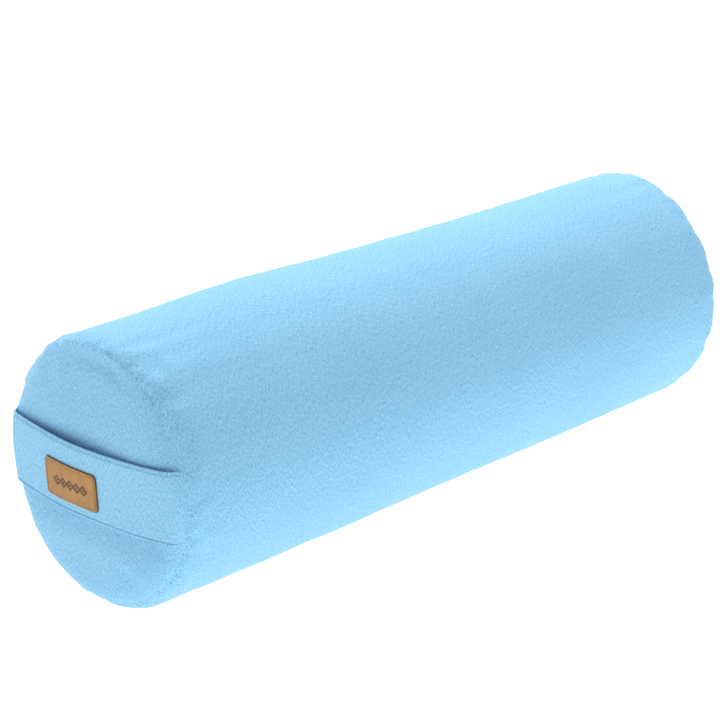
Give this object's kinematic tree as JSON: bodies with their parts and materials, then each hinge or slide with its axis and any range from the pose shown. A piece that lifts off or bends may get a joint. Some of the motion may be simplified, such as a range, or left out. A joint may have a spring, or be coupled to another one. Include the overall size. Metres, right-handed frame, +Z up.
{
  "type": "bolster pillow",
  "caption": "Round yoga and massage bolster: a zipped cotton cover with a carry strap across one end, over a husk-filled inner liner.",
  "frame": {"origin": "middle of the flattened resting face under the bolster", "axes": "+X along the bolster, away from the carry strap's end; +Z up; +Y towards the zip's side"},
  "size_m": [0.703, 0.2223, 0.2152],
  "materials": {
    "cover_fabric": "heathered plain-weave cotton, matt",
    "strap_fabric": "the cover's cotton, doubled, matt",
    "blue_thread": "twisted polyester thread",
    "patch_leather": "tan split leather, satin, with a blind-stamped border",
    "brown_thread": "waxed thread",
    "zip_tape": "woven polyester tape",
    "zip_coil": "dyed nylon coil",
    "zip_metal": "nickel-plated zinc, satin",
    "tab_satin": "blank woven satin",
    "liner_cotton": "unbleached cotton",
    "liner_thread": "cotton thread",
    "husks": "loose buckwheat husks"
  },
  "bodies": {
    "cover": {"cover_body": "cover_fabric", "cover_front_panel": "cover_fabric", "cover_rear_panel": "cover_fabric", "front_seam_thread": "blue_thread", "rear_seam_thread": "blue_thread", "zip_upper_tape": "zip_tape", "zip_lower_tape": "zip_tape", "zip_upper_coil": "zip_coil", "zip_lower_coil": "zip_coil", "zip_end_clips": "zip_metal", "zip_bottom_stop": "zip_metal", "zip_upper_topstitching": "blue_thread", "zip_lower_topstitching": "blue_thread", "care_tab": "tab_satin", "liner_body": "liner_cotton", "liner_front_panel": "liner_cotton", "liner_rear_panel": "liner_cotton", "liner_closing_thread": "liner_thread", "husk_filling": "husks"},
    "strap": {"carry_strap": "strap_fabric", "strap_upper_stitching": "blue_thread", "strap_lower_stitching": "blue_thread", "leather_patch": "patch_leather", "patch_stitching": "brown_thread"},
    "slider": {"zip_slider": "zip_metal"},
    "pull": {"zip_pull": "zip_metal"}
  },
  "joints": [
    {"name": "strap_lift", "type": "slide", "parent": "cover", "child": "strap", "axis": [-1, 0, 0], "range_m": [0, 0.018], "stiffness_N_per_m": 150},
    {"name": "zip_run", "type": "slide", "parent": "cover", "child": "slider", "axis": [-1, 0, 0], "range_m": [0, 0.445], "deforming": ["zip_upper_coil", "zip_lower_coil"]},
    {"name": "pull_flip", "type": "hinge", "parent": "slider", "child": "pull", "pos_m": [0.2192, 0.11053, 0.12874], "axis": [0, 0.2079, -0.9781], "range_deg": [0, 165]}
  ]
}
